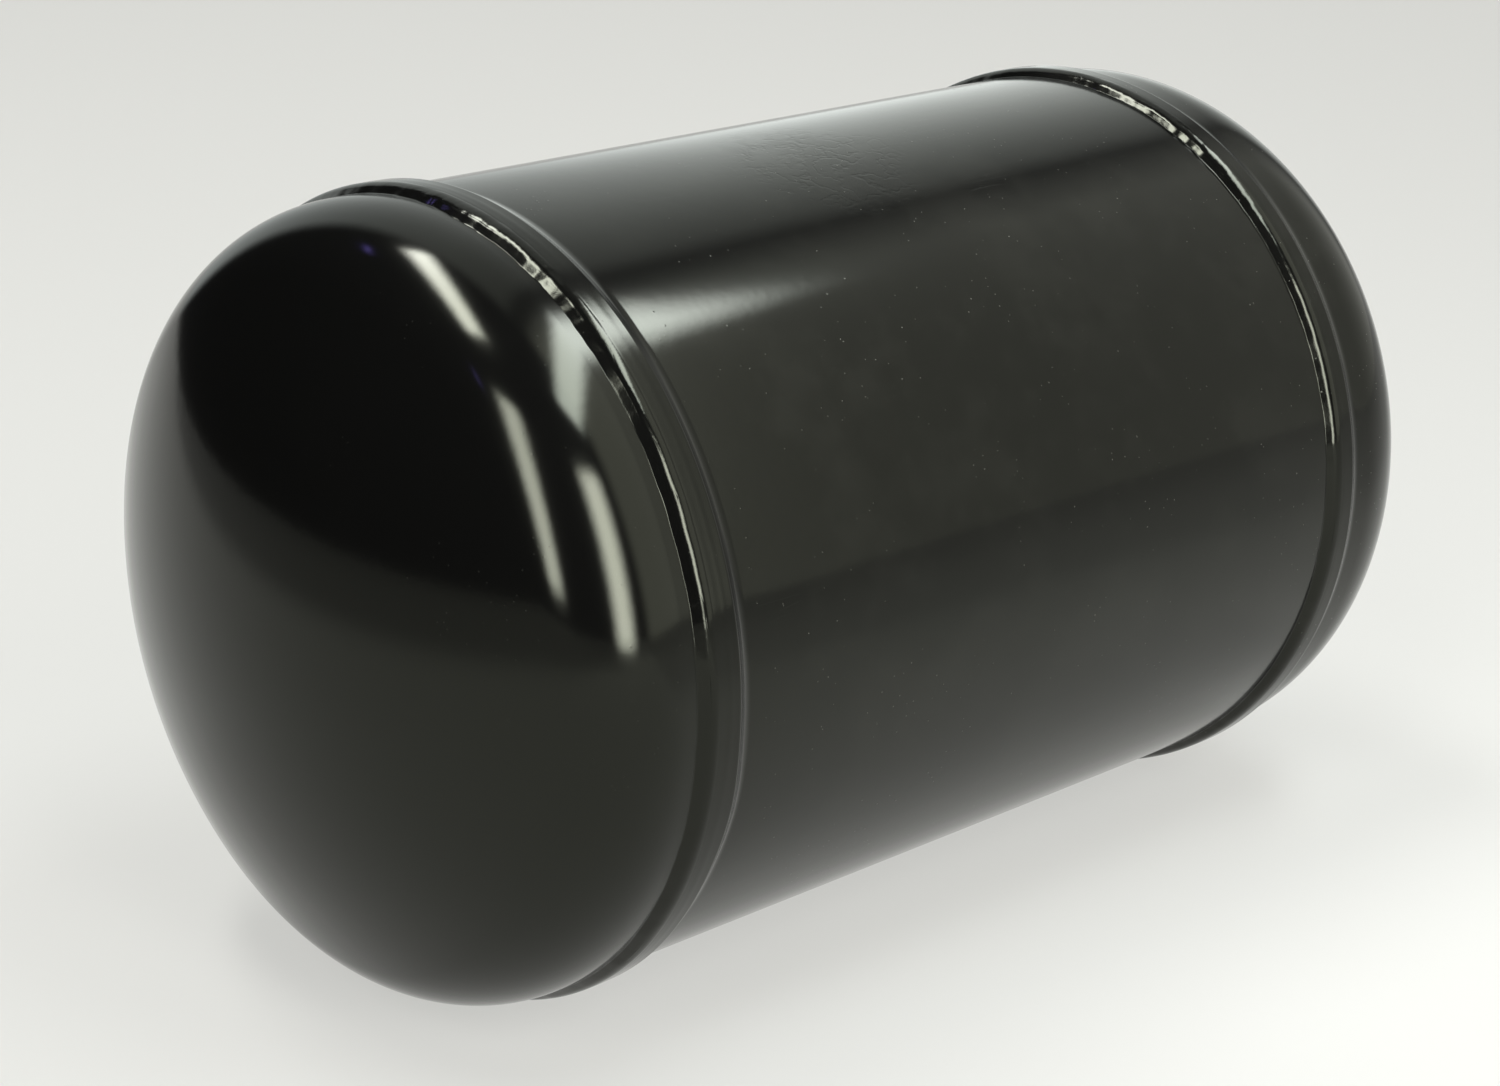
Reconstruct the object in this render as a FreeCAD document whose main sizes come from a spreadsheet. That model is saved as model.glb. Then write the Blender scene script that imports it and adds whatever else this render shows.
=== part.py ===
"""Horizontal compressed-air tank: a rolled steel shell closed by two dished heads.

The front head is a plug: its flange stands in the shell's expanded front end. The rear head is
a cap: its own expanded skirt goes over the shell's plain rear end. A fillet weld runs round the
rim of each expanded end. Three threaded bosses stand in the back of the shell.

Frame: millimetres, X along the tank from the front head to the rear head, Y to the back, Z up.
The origin is on the floor, under the middle of the tank, which rests on its two wider ends.
"""
import FreeCAD, Part
import math
import os
import Sketcher

# Driving dimensions: (alias, value in millimetres or degrees, what it is).
DIMENSIONS = [
    ("shell_diameter", 276.0, "outside of the shell and of the front head's flange"),
    ("joint_spacing", 316.0, "from the toe of the front weld to the toe of the rear weld"),
    ("sheet", 3.0, "thickness of the shell and of the heads"),
    ("socket_clearance", 0.1, "radial gap between an inserted end and its socket"),
    ("crown_radius", 220.8, "outside radius of a head's crown"),
    ("knuckle_radius", 42.5, "outside radius of a head's knuckle"),
    ("front_lip", 4.0, "straight flange of the front head that shows before its weld"),
    ("rear_skirt", 26.5, "from the toe of the rear weld to the rear head's knuckle"),
    ("front_socket", 16.0, "from the toe of the front weld to the end of the shell's socket"),
    ("rear_socket", 13.0, "from the toe of the rear weld to the end of the rear head's socket"),
    ("seat_gap", 1.5, "from an inserted edge to the end of its socket"),
    ("shoulder_angle", 45.0, "slope of a socket's shoulder"),
    ("shoulder_bend", 4.0, "outside radius of a shoulder's upper bend"),
    ("shoulder_root", 1.0, "outside radius of a shoulder's lower bend"),
    ("weld_leg", 3.5, "length of a girth weld along the tank"),
    ("weld_face", 6.0, "radius of a girth weld's convex face"),
    ("seam_width", 8.0, "width of the shell's lengthways weld"),
    ("seam_face", 7.5, "radius of the lengthways weld's convex face"),
    ("seam_angle", 95.0, "lengthways weld, from the top towards the back"),
    ("port_offset", 95.0, "each upper boss from the middle of the tank"),
    ("port_angle", 50.0, "upper bosses, from the top towards the back"),
    ("drain_offset", 0.0, "drain boss from the middle of the tank"),
    ("drain_angle", 140.0, "drain boss, from the top towards the back"),
    ("boss_diameter", 28.0, "outside of a boss"),
    ("boss_stand", 8.0, "height of a boss above the shell"),
    ("boss_reach", 2.5, "how far a boss goes on inside the shell"),
    ("boss_clearance", 0.1, "radial gap between a boss and its hole"),
    ("thread_bore", 20.5, "bore for a 22 mm thread of 1.5 mm pitch"),
    ("bore_chamfer", 1.0, "chamfer at the mouth of a boss"),
    ("boss_weld_leg", 4.0, "both legs of a boss's fillet weld"),
    ("boss_weld_land", 0.3, "flat edge left at the top of a boss's fillet weld"),
]

# Derived sizes, as expressions over the sheet of dimensions.
NONE = "0"
SHELL_RADIUS = "sizes.shell_diameter / 2"
SOCKET_STEP = "(sizes.socket_clearance + sizes.sheet)"
SOCKET_RADIUS = f"({SHELL_RADIUS} + {SOCKET_STEP})"
FRONT_TOE = "(sizes.front_lip - sizes.joint_spacing - sizes.rear_skirt) / 2"
REAR_TOE = "(sizes.front_lip + sizes.joint_spacing - sizes.rear_skirt) / 2"
BEND_SUM = "(sizes.shoulder_bend + sizes.shoulder_root)"
SHOULDER = "sizes.shoulder_angle * 1 deg"
SHOULDER_RUN = f"({BEND_SUM} * tan({SHOULDER} / 2) + {SOCKET_STEP} / tan({SHOULDER}))"
SLOPE = f"({SOCKET_STEP} - {BEND_SUM} * (1 - cos({SHOULDER}))) / sin({SHOULDER})"
CROWN_TURN = f"asin(({SHELL_RADIUS} - sizes.knuckle_radius) / (sizes.crown_radius - sizes.knuckle_radius))"
BORE_RADIUS = "sizes.thread_bore / 2"
BOSS_RADIUS = "sizes.boss_diameter / 2"
BOSS_FOOT = f"{SHELL_RADIUS} - sizes.sheet - sizes.boss_reach"
BOSS_TOP = f"{SHELL_RADIUS} + sizes.boss_stand"

AXIAL = FreeCAD.Vector(1, 0, 0)
UPRIGHT = FreeCAD.Vector(0, 0, 1)
CENTRE = 3  # the sketcher's number for an arc's centre
ORIGIN = (-1, 1)  # the sketcher's name for the sketch's origin
HORIZONTAL_AXIS = -1
VERTICAL_AXIS = -2

doc = FreeCAD.newDocument("pressure_tank")
sheet = doc.addObject("Spreadsheet::Sheet", "sizes")
for row, (alias, value, meaning) in enumerate(DIMENSIONS, start=1):
    sheet.set(f"A{row}", alias)
    sheet.set(f"B{row}", str(value))
    sheet.set(f"C{row}", meaning)
    sheet.setAlias(f"B{row}", alias)
doc.recompute()


def size(expression):
    """The present value of an expression over the sheet of dimensions."""
    value = sheet.evalExpression(expression)
    return float(getattr(value, "Value", value))


def polar(centre, radius, degrees):
    """The point at a radius and an angle from a centre."""
    angle = math.radians(degrees)
    return (centre[0] + radius * math.cos(angle), centre[1] + radius * math.sin(angle))


class Outline:
    """A closed sketch whose edges are added in order round it and joined end to end."""

    def __init__(self, body, name, plane_role):
        plane = next(p for p in body.Origin.OriginFeatures if p.Role == plane_role)
        self.sketch = body.newObject("Sketcher::SketchObject", name)
        self.sketch.AttachmentSupport = [(plane, "")]
        self.sketch.MapMode = "FlatFace"
        self.ends = {}

    def line(self, start, end):
        """A straight edge."""
        corners = [FreeCAD.Vector(*point, 0) for point in (start, end)]
        return self._add(Part.LineSegment(*corners), (1, 2))

    def arc(self, centre, radius, start, end):
        """An arc from one angle to another, in degrees, either way round."""
        circle = Part.Circle(FreeCAD.Vector(*centre, 0), UPRIGHT, radius)
        edge = Part.ArcOfCircle(circle, *[math.radians(a) for a in sorted((start, end))])
        return self._add(edge, (1, 2) if start < end else (2, 1))

    def _add(self, geometry, ends):
        index = self.sketch.addGeometry(geometry, False)
        self.ends[index] = ends
        return index

    def join(self, smooth=()):
        """Joins each edge to the next: tangent for the edges in smooth, else at a corner."""
        order = list(self.ends)
        for first, second in zip(order, order[1:] + order[:1]):
            kind = "Tangent" if first in smooth else "Coincident"
            self.hold(kind, first, self.ends[first][1], second, self.ends[second][0])

    def hold(self, kind, *where):
        """A constraint that carries no size."""
        self.sketch.addConstraint(Sketcher.Constraint(kind, *where))

    def measure(self, kind, *where, by):
        """A constraint whose size follows an expression."""
        index = self.sketch.addConstraint(Sketcher.Constraint(kind, *where, size(by)))
        self.sketch.setExpression(f"Constraints[{index}]", by)

    def place(self, edge, point, x=None, y=None):
        """Places a point of an edge from the sketch's origin, along either axis or both."""
        for kind, distance in (("DistanceX", x), ("DistanceY", y)):
            if distance == NONE:
                axis = VERTICAL_AXIS if kind == "DistanceX" else HORIZONTAL_AXIS
                self.hold("PointOnObject", edge, point, axis)
            elif distance is not None:
                self.measure(kind, *ORIGIN, edge, point, by=distance)


class SheetSection(Outline):
    """The half section of a bent sheet of even thickness, drawn on the plane of the tank's axis.

    The sheet is a list of runs and bends from its front edge on. Both skins follow the same list,
    so that the wall keeps its thickness round every bend.
    """

    def __init__(self, body, name, x, radius):
        super().__init__(body, name, "XZ_Plane")
        self.x = x
        self.radius = radius
        self.steps = []

    def run(self, length, end_x=None, radius=None):
        """A straight stretch. Its end's place along the axis and its radius may be given."""
        self.steps.append({"length": length, "end_x": end_x, "radius": radius})

    def bend(self, radius, turn, centre_x=None, centre_y=None):
        """A bend with an outer-skin radius; a negative turn goes towards the axis."""
        self.steps.append({"bend": radius, "turn": turn, "centre": (centre_x, centre_y)})

    def socket(self, rim, end):
        """A flat socket from its rim to its end, and the shoulder down to the plain radius."""
        self.run(f"{end} - ({rim})", end_x=end)
        self.bend("sizes.shoulder_bend", f"-{SHOULDER}")
        self.run(SLOPE)
        self.bend("sizes.shoulder_root", SHOULDER, centre_x=f"{end} + {SHOULDER_RUN}")

    def dish(self):
        """A knuckle and a crown that closes on the axis."""
        self.bend("sizes.knuckle_radius", f"{CROWN_TURN} - 90 deg")
        self.bend("sizes.crown_radius", f"-{CROWN_TURN}", centre_y=NONE)

    def _skin(self, depth):
        """One skin's edges, as arguments for line and arc, at a depth below the outer skin."""
        at, heading, edges = (size(self.x), size(self.radius) - depth), 0.0, []
        for step in self.steps:
            if "length" in step:
                end = polar(at, size(step["length"]), heading)
                edges.append((at, end))
            else:
                turn = size(step["turn"])
                side = math.copysign(1.0, turn)
                radius = size(step["bend"]) + side * depth
                centre = polar(at, radius, heading + 90.0 * side)
                start = heading - 90.0 * side
                edges.append((centre, radius, start, start + turn))
                end = polar(centre, radius, start + turn)
                heading += turn
            at = end
        return edges

    def _draw(self, edge, backwards):
        """Draws one edge of a skin."""
        if len(edge) == 2:
            return self.line(*(reversed(edge) if backwards else edge))
        centre, radius, start, end = edge
        return self.arc(centre, radius, *((end, start) if backwards else (start, end)))

    def close(self, on_axis):
        """Draws both skins and sizes them. The sheet ends on the axis or at a square edge."""
        outer = [self._draw(edge, False) for edge in self._skin(0.0)]
        wall = size("sizes.sheet")
        far_outer, near_outer = self._ends(0.0)
        far_inner, near_inner = self._ends(wall)
        far = self.line(far_outer, far_inner)
        inner = [self._draw(edge, True) for edge in reversed(self._skin(wall))]
        inner.reverse()
        near = self.line(near_inner, near_outer)
        self.join(smooth=outer[:-1] + inner[1:])
        self.hold("Vertical", near)
        self.measure("DistanceY", near, 1, near, 2, by="sizes.sheet")
        self.place(outer[0], 1, x=self.x, y=self.radius)
        if on_axis:
            self.place(far, 1, y=NONE)
            self.place(far, 2, y=NONE)
        else:
            self.hold("Vertical", far)
        for step, skin, lining in zip(self.steps, outer, inner):
            self._size(step, skin, lining)

    def _ends(self, depth):
        """The last and the first point of a skin."""
        edges = self._skin(depth)
        last = edges[-1]
        end = last[1] if len(last) == 2 else polar(last[0], last[1], last[3])
        return end, edges[0][0]

    def _size(self, step, skin, lining):
        """Ties one step's edge in the outer skin to its sizes, and its inner edge to that one."""
        if "length" in step:
            self.hold("Parallel", skin, lining)
            if step["end_x"] is not None:
                self.hold("Horizontal", skin)
                self.place(skin, 2, x=step["end_x"], y=step["radius"])
        else:
            self.hold("Coincident", skin, CENTRE, lining, CENTRE)
            self.measure("Radius", skin, by=step["bend"])
            self.place(skin, CENTRE, *step["centre"])


def lift(piece, x=NONE, angle=NONE):
    """Puts a piece in its place: x along the tank's axis, turned about it towards the back.

    The tank's axis is one socket radius above the floor.
    """
    if angle != NONE:
        piece.Placement.Rotation = FreeCAD.Rotation(-AXIAL, size(angle))
        piece.setExpression(".Placement.Rotation.Angle", f"{angle} * 1 deg")
    piece.setExpression(".Placement.Base.x", x)
    piece.setExpression(".Placement.Base.z", SOCKET_RADIUS)


def new_body(label, **place):
    """An empty body in its place."""
    body = doc.addObject("PartDesign::Body", label)
    body.Label = label
    lift(body, **place)
    return body


def revolve(body, outline, axis="H_Axis"):
    """Turns a half section once round an axis of its sketch."""
    turn = body.newObject("PartDesign::Revolution", f"{body.Label}_turn")
    turn.Profile = outline.sketch
    turn.ReferenceAxis = (outline.sketch, [axis])
    turn.Angle = 360.0
    body.Tip = turn
    doc.recompute()
    return turn


def make_front_head():
    """The plug head, drawn with its dome towards +X and then turned round to face the front."""
    body = new_body("front_head", x=f"{FRONT_TOE} - sizes.front_lip")
    body.Placement.Rotation = FreeCAD.Rotation(UPRIGHT, 180.0)
    flange = "sizes.front_lip + sizes.front_socket - sizes.seat_gap"
    section = SheetSection(body, "front_head_section", f"-({flange})", SHELL_RADIUS)
    section.run(flange, end_x=NONE)
    section.dish()
    section.close(on_axis=True)
    revolve(body, section)
    return body


def make_rear_head():
    """The cap head: a socket over the shell's end, a shoulder, a straight band and the dome."""
    body = new_body("rear_head", x=f"{REAR_TOE} + sizes.rear_skirt")
    rim = "sizes.weld_leg - sizes.rear_skirt"
    socket_end = "sizes.rear_socket - sizes.rear_skirt"
    section = SheetSection(body, "rear_head_section", rim, SOCKET_RADIUS)
    section.socket(rim, socket_end)
    section.run(f"-({socket_end} + {SHOULDER_RUN})", end_x=NONE, radius=SHELL_RADIUS)
    section.dish()
    section.close(on_axis=True)
    revolve(body, section)
    return body


def make_shell():
    """The rolled shell, expanded at its front end, with a round hole for each boss."""
    body = new_body("shell")
    rim = f"{FRONT_TOE} + sizes.weld_leg"
    socket_end = f"{FRONT_TOE} + sizes.front_socket"
    rear_edge = f"{REAR_TOE} + sizes.rear_socket - sizes.seat_gap"
    section = SheetSection(body, "shell_section", rim, SOCKET_RADIUS)
    section.socket(rim, socket_end)
    plain = f"{rear_edge} - ({socket_end} + {SHOULDER_RUN})"
    section.run(plain, end_x=rear_edge, radius=SHELL_RADIUS)
    section.close(on_axis=False)
    revolve(body, section)
    for name, offset, angle in BOSSES:
        pierce(body, name, offset, angle)
    return body


def pierce(body, name, offset, angle):
    """Cuts a boss's hole outwards through one side of the shell."""
    before = body.Shape.Volume
    hole = Outline(body, f"{name}_hole_section", "XY_Plane")
    hole.sketch.AttachmentOffset = FreeCAD.Placement(
        FreeCAD.Vector(size(offset), 0, 0), FreeCAD.Rotation(-AXIAL, size(angle))
    )
    hole.sketch.setExpression(".AttachmentOffset.Base.x", offset)
    hole.sketch.setExpression(".AttachmentOffset.Rotation.Angle", f"{angle} * 1 deg")
    radius = f"{BOSS_RADIUS} + sizes.boss_clearance"
    ring = hole.sketch.addGeometry(Part.Circle(FreeCAD.Vector(), UPRIGHT, size(radius)), False)
    hole.hold("Coincident", ring, CENTRE, *ORIGIN)
    hole.measure("Radius", ring, by=radius)
    pocket = body.newObject("PartDesign::Pocket", f"{name}_hole")
    pocket.Profile = hole.sketch
    pocket.Reversed = True
    pocket.setExpression("Length", BOSS_TOP)
    body.Tip = pocket
    doc.recompute()
    removed = before - body.Shape.Volume
    drilled = math.pi * size(radius) ** 2 * size("sizes.sheet")
    if not 1.0 < removed / drilled < 1.1:
        raise RuntimeError(f"{name} hole removes {removed:.0f} mm3, expected {drilled:.0f}")


def make_girth_weld(label, toe):
    """The fillet round a socket's rim: from its toe on the inserted part up to the rim's edge."""
    body = new_body(label, x=toe)
    leg, low, high = "sizes.weld_leg", SHELL_RADIUS, SOCKET_RADIUS
    toe_at, root, top = (0.0, size(low)), (size(leg), size(low)), (size(leg), size(high))
    chord = math.dist(toe_at, top)
    tilt = math.degrees(math.atan2(top[1] - toe_at[1], top[0] - toe_at[0]))
    half = math.degrees(math.asin(chord / 2 / size("sizes.weld_face")))
    centre = polar(toe_at, size("sizes.weld_face"), tilt - 90.0 + half)
    section = Outline(body, f"{label}_section", "XZ_Plane")
    foot = section.line(toe_at, root)
    side = section.line(root, top)
    face = section.arc(centre, size("sizes.weld_face"), tilt + 90.0 - half, tilt + 90.0 + half)
    section.join()
    section.hold("Horizontal", foot)
    section.hold("Vertical", side)
    section.place(foot, 1, x=NONE, y=low)
    section.place(side, 2, x=leg, y=high)
    section.measure("Radius", face, by="sizes.weld_face")
    revolve(body, section)
    return body


def make_seam_weld():
    """The bead along the shell between its front shoulder and the rear weld."""
    start = f"{FRONT_TOE} + sizes.front_socket + {SHOULDER_RUN}"
    body = new_body("seam_weld", x=start, angle="sizes.seam_angle")
    half = "sizes.seam_width / 2"
    low, face = size(SHELL_RADIUS), size("sizes.seam_face")
    under = math.degrees(math.asin(size(half) / low))
    over = math.degrees(math.asin(size(half) / face))
    rise = low * math.cos(math.radians(under)) - face * math.cos(math.radians(over))
    section = Outline(body, "seam_section", "YZ_Plane")
    foot = section.arc((0.0, 0.0), low, 90.0 + under, 90.0 - under)
    top = section.arc((0.0, rise), face, 90.0 - over, 90.0 + over)
    section.join()
    section.hold("Coincident", foot, CENTRE, *ORIGIN)
    section.measure("Radius", foot, by=SHELL_RADIUS)
    section.place(top, CENTRE, x=NONE)
    section.measure("Radius", top, by="sizes.seam_face")
    section.place(foot, 1, x=half)
    bead = body.newObject("PartDesign::Pad", "seam_bead")
    bead.Profile = section.sketch
    bead.setExpression("Length", f"{REAR_TOE} - ({start})")
    body.Tip = bead
    return body


def make_boss(label, offset, angle):
    """A turned bush with a plain threading bore, set through the shell."""
    body = new_body(label, x=offset, angle=angle)
    mouth = f"{BORE_RADIUS} + sizes.bore_chamfer"
    mouth_foot = f"{BOSS_TOP} - sizes.bore_chamfer"
    points = [
        (BORE_RADIUS, BOSS_FOOT),
        (BOSS_RADIUS, BOSS_FOOT),
        (BOSS_RADIUS, BOSS_TOP),
        (mouth, BOSS_TOP),
        (BORE_RADIUS, mouth_foot),
    ]
    corners = [(size(x), size(y)) for x, y in points]
    section = Outline(body, f"{label}_section", "XZ_Plane")
    foot, side, top, chamfer, bore = [
        section.line(*pair) for pair in zip(corners, corners[1:] + corners[:1])
    ]
    section.join()
    for edge in (foot, top):
        section.hold("Horizontal", edge)
    for edge in (side, bore):
        section.hold("Vertical", edge)
    section.place(foot, 1, *points[0])
    section.place(side, 2, *points[2])
    section.place(chamfer, 1, x=mouth)
    section.place(chamfer, 2, y=mouth_foot)
    revolve(body, section, axis="V_Axis")
    return body


def solid(kind, name, place=None, **sizes):
    """A Part primitive about the boss's axis, with its sizes and its height above the tank's axis."""
    piece = doc.addObject(kind, name)
    for key, expression in sizes.items():
        piece.setExpression(key, expression)
    if place is not None:
        piece.setExpression(".Placement.Base.z", place)
    return piece


def make_boss_weld(label, offset, angle):
    """The fillet round a boss: a cone less the boss itself, saddled on the round shell."""
    leg, land = "sizes.boss_weld_leg", "sizes.boss_weld_land"
    cone = solid(
        "Part::Cone",
        f"{label}_cone",
        place=f"{SHELL_RADIUS} - {leg}",
        Radius1=f"{BOSS_RADIUS} + 2 * {leg} - {land}",
        Radius2=f"{BOSS_RADIUS} + {land}",
        Height=f"2 * {leg}",
    )
    core = solid(
        "Part::Cylinder",
        f"{label}_core",
        place=BOSS_FOOT,
        Radius=BOSS_RADIUS,
        Height=f"{BOSS_TOP} - ({BOSS_FOOT})",
    )
    saddle = solid(
        "Part::Cylinder",
        f"{label}_saddle",
        Radius=SHELL_RADIUS,
        Height="4 * sizes.boss_diameter",
    )
    saddle.Placement.Rotation = FreeCAD.Rotation(UPRIGHT, AXIAL)
    saddle.setExpression(".Placement.Base.x", "-2 * sizes.boss_diameter")
    ring = doc.addObject("Part::Cut", f"{label}_ring")
    ring.Base, ring.Tool = cone, core
    weld = doc.addObject("Part::Cut", label)
    weld.Base, weld.Tool = ring, saddle
    weld.Label = label
    lift(weld, x=offset, angle=angle)
    return weld


BOSSES = [
    ("inlet_boss", "-sizes.port_offset", "sizes.port_angle"),
    ("outlet_boss", "sizes.port_offset", "sizes.port_angle"),
    ("drain_boss", "sizes.drain_offset", "sizes.drain_angle"),
]

pieces = [
    make_shell(),
    make_front_head(),
    make_rear_head(),
    make_girth_weld("front_girth_weld", FRONT_TOE),
    make_girth_weld("rear_girth_weld", REAR_TOE),
    make_seam_weld(),
]
for name, offset, angle in BOSSES:
    pieces.append(make_boss(name, offset, angle))
    pieces.append(make_boss_weld(f"{name}_weld", offset, angle))

doc.recompute()
for item in doc.Objects:
    if "Invalid" in item.State or "Error" in item.State:
        raise RuntimeError(f"{item.Label} failed: {item.State}")
for piece in pieces:
    if piece.Shape.isNull() or not piece.Shape.isValid() or len(piece.Shape.Solids) != 1:
        raise RuntimeError(f"{piece.Label} isn't one valid solid")

os.makedirs("parts", exist_ok=True)
for piece in pieces:
    piece.Shape.exportStep(f"parts/{piece.Label}.step")
    print(f"{piece.Label}: {piece.Shape.Volume / 1000:.2f} cm3, {piece.Shape.BoundBox}")
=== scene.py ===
"""A gloss-black welded air tank on a pale studio floor.

The tank lies along X on the floor: a rolled shell, a plug head at the front, a cap head at the
rear, two girth welds, a lengthways weld and three threaded bosses at the back. Every piece is a
surface of two parameters worked out with numpy. Angles round the tank start at the front (-Y)
and go over the top (+Z) to the back (+Y).
"""
import logging
import math
from dataclasses import dataclass
from enum import Enum
from typing import Callable, Dict, List, Optional, Sequence, Tuple, Union

import bpy
import numpy as np
from mathutils import Matrix, Vector


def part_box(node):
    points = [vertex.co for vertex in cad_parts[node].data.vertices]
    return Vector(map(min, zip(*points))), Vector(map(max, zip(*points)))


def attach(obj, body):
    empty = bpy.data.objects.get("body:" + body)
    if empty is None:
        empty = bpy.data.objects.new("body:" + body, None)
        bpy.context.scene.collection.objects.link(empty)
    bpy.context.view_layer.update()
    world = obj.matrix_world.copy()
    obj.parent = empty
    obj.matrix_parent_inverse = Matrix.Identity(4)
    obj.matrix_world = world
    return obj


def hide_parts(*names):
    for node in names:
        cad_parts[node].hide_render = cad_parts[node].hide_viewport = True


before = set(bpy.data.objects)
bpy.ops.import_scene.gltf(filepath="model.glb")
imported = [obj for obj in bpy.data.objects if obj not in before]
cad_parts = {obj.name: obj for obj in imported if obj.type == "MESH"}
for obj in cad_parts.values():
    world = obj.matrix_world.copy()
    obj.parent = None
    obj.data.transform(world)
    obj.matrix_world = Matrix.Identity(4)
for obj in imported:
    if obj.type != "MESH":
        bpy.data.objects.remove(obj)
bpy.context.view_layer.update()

LOG = logging.getLogger("tank")
MM = 0.001
FULL_TURN = 2.0 * math.pi
SHARP_EDGE = math.radians(50.0)
Colour = Tuple[float, float, float]
VIOLET: Colour = (0.32, 0.24, 1.0)
BLACK: Colour = (0.0, 0.0, 0.0)
ALL_SOFT = (0.5, 0.5)


# ---------------------------------------------------------------------------------------------
# Sizes
# ---------------------------------------------------------------------------------------------


@dataclass(frozen=True)
class BeadSection:
    """The section of a girth bead: a hollow at its toe, a straight face and a round crown."""

    rise: float
    slope: float
    hollow: float = 0.6 * MM
    crown: float = 6.0 * MM
    sink: float = 0.05 * MM

    @property
    def climb(self) -> float:
        """Length of the straight face between the hollow and the crown."""
        rounded = (self.hollow + self.crown) * (1.0 - math.cos(self.slope))
        return (self.rise - rounded) / math.sin(self.slope)

    @property
    def reach(self) -> float:
        """How far past the toe the crown comes level with the socket."""
        rounded = (self.hollow + self.crown) * math.sin(self.slope)
        return rounded + self.climb * math.cos(self.slope)

    def melted(self, past_toe: np.ndarray) -> np.ndarray:
        """How far a socket's skin sinks under the crown: the crown's circle and a little more."""
        short = np.clip(self.reach - past_toe, 0.0, None)
        return np.where(short > 0.0, short**2 / (2.0 * self.crown) + self.sink, 0.0)


@dataclass(frozen=True)
class TankSizes:
    """The tank's sizes in metres, read from the frame's boxes and a few sheet sizes."""

    axis_height: float
    socket_radius: float
    front_toe: float
    rear_toe: float
    shell_end: float
    sheet: float = 3.0 * MM
    clearance: float = 0.1 * MM
    weld_leg: float = 3.5 * MM
    front_lip: float = 4.0 * MM
    front_socket: float = 16.0 * MM
    rear_socket: float = 13.0 * MM
    rear_skirt: float = 26.5 * MM
    seat_gap: float = 1.5 * MM
    crown_radius: float = 220.8 * MM
    knuckle_radius: float = 42.5 * MM
    shoulder_angle: float = math.radians(35.0)
    shoulder_bend: float = 1.6 * MM
    shoulder_root: float = 9.0 * MM
    shoulder_lead: float = 1.3 * MM
    front_slope: float = math.radians(38.0)
    rear_slope: float = math.radians(43.0)

    @classmethod
    def from_frame(cls) -> "TankSizes":
        """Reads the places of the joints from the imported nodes.

        Returns:
            The sizes, with the axis at half the height of the widest ring.
        """
        shell_low, shell_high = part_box("shell")
        cap_low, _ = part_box("rear_head")
        return cls(
            axis_height=(shell_high[1] - shell_low[1]) / 2,
            socket_radius=(shell_high[1] - shell_low[1]) / 2,
            front_toe=shell_low[0] - cls.weld_leg,
            rear_toe=cap_low[0] - cls.weld_leg,
            shell_end=shell_high[0],
        )

    @property
    def shell_radius(self) -> float:
        """Outside radius of the plain shell."""
        return self.socket_radius - self.sheet - self.clearance

    def bead(self, slope: float) -> BeadSection:
        """The section of a girth bead whose face has a given slope."""
        return BeadSection(self.socket_radius - self.shell_radius, slope)

    @property
    def front_bead(self) -> BeadSection:
        """The front bead's section."""
        return self.bead(self.front_slope)

    @property
    def rear_bead(self) -> BeadSection:
        """The rear bead's section, a little steeper."""
        return self.bead(self.rear_slope)

    @property
    def front_tangent(self) -> float:
        """Where the front head's knuckle starts."""
        return self.front_toe - self.front_lip

    @property
    def rear_tangent(self) -> float:
        """Where the rear head's knuckle starts."""
        return self.rear_toe + self.rear_skirt


# ---------------------------------------------------------------------------------------------
# Shader maths
# ---------------------------------------------------------------------------------------------

Value = Union["Wire", float]


class Wire:
    """A number leaving a node's socket, with operators that add Math nodes."""

    def __init__(self, graph: "Graph", socket: Optional[bpy.types.NodeSocket]) -> None:
        """Keeps the graph and the socket, which an output node doesn't have."""
        self.graph = graph
        self.socket = socket

    def _math(self, operation: str, *values: Value) -> "Wire":
        """Adds one Math node for an operation on this graph."""
        return self.graph.node("ShaderNodeMath", {"operation": operation}, *values)

    def __add__(self, other: Value) -> "Wire":
        """self + other."""
        return self._math("ADD", self, other)

    def __radd__(self, other: Value) -> "Wire":
        """other + self."""
        return self._math("ADD", other, self)

    def __sub__(self, other: Value) -> "Wire":
        """self - other."""
        return self._math("SUBTRACT", self, other)

    def __rsub__(self, other: Value) -> "Wire":
        """other - self."""
        return self._math("SUBTRACT", other, self)

    def __mul__(self, other: Value) -> "Wire":
        """self * other."""
        return self._math("MULTIPLY", self, other)

    def __rmul__(self, other: Value) -> "Wire":
        """other * self."""
        return self._math("MULTIPLY", other, self)

    def magnitude(self) -> "Wire":
        """The number without its sign."""
        return self._math("ABSOLUTE", self)

    def ramp(self, low: float, high: float) -> "Wire":
        """Rises smoothly from 0 at low to 1 at high, or falls where low is above high."""
        settings = {"interpolation_type": "SMOOTHSTEP", "clamp": True}
        first, last = (low, high) if low < high else (high, low)
        rise = self.graph.node("ShaderNodeMapRange", settings, self, first, last, 0.0, 1.0)
        return rise if low < high else 1.0 - rise


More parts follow.
